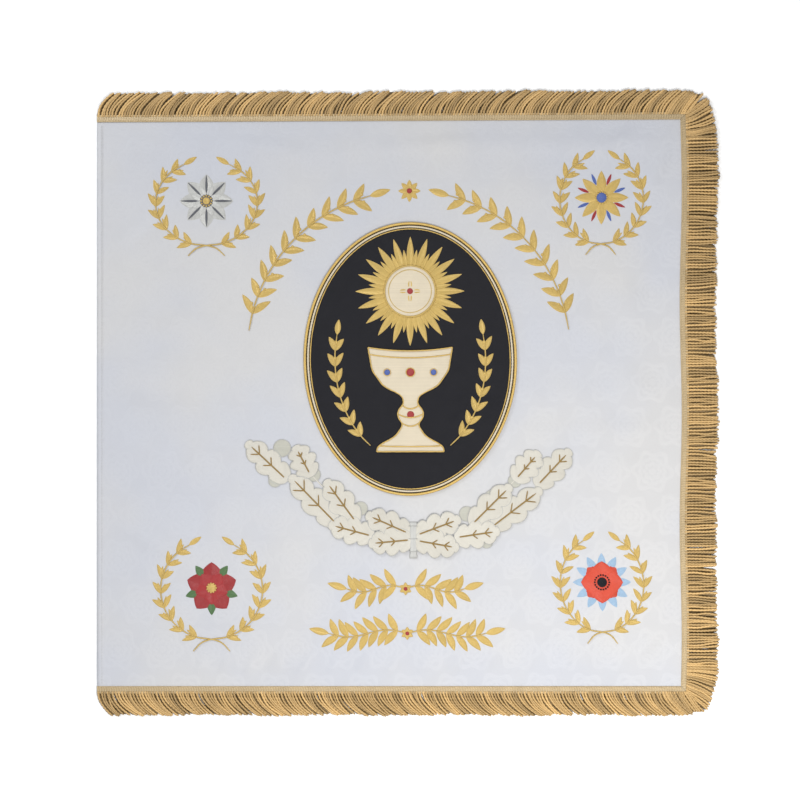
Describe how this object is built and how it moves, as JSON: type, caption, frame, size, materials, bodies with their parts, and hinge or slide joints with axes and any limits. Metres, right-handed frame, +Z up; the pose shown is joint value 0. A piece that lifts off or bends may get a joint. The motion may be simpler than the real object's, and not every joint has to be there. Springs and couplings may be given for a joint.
{
  "type": "church banner",
  "caption": "Square church banner of white damask laid flat, with gold fringe on the sides away from the pole and raised embroidery.",
  "frame": {"origin": "under the middle of the banner's bounding box, on the surface that it lies on", "axes": "+Z up, out of the embroidered face; +Y towards the banner's top edge; -X towards the hoist edge, which has no fringe"},
  "size_m": [1.0754, 1.0812, 0.0056],
  "materials": {
    "damask": "white silk damask, soft sheen",
    "gold_fringe": "old gold bullion cord, soft lustre",
    "gold_thread": "gold metallic embroidery thread",
    "silver_thread": "silver metallic embroidery thread",
    "white_thread": "off-white silk embroidery thread",
    "black_satin": "black silk satin stitch",
    "cream_thread": "cream silk embroidery thread",
    "red_thread": "crimson silk embroidery thread",
    "poppy_thread": "scarlet silk embroidery thread"
  },
  "bodies": {
    "root": {"cloth": "damask", "fringe_top": "gold_fringe", "fringe_bottom": "gold_fringe", "fringe_fly": "gold_fringe", "arch_left": "gold_thread", "arch_right": "gold_thread", "arch_star": "gold_thread", "band_upper": "gold_thread", "band_lower": "gold_thread", "wreath_top_hoist": "gold_thread", "wreath_top_fly": "gold_thread", "wreath_bottom_hoist": "gold_thread", "wreath_bottom_fly": "gold_thread", "emblem_star": "gold_thread", "glory_rays": "gold_thread", "sheaf_hoist": "gold_thread", "sheaf_fly": "gold_thread", "emblem_rosette": "silver_thread", "garland_tie": "silver_thread", "oak_spray_hoist": "white_thread", "oak_spray_fly": "white_thread", "medallion_ground": "black_satin", "chalice": "cream_thread", "host_disc": "cream_thread", "emblem_rose": "red_thread", "emblem_poppy": "poppy_thread"}
  },
  "joints": []
}
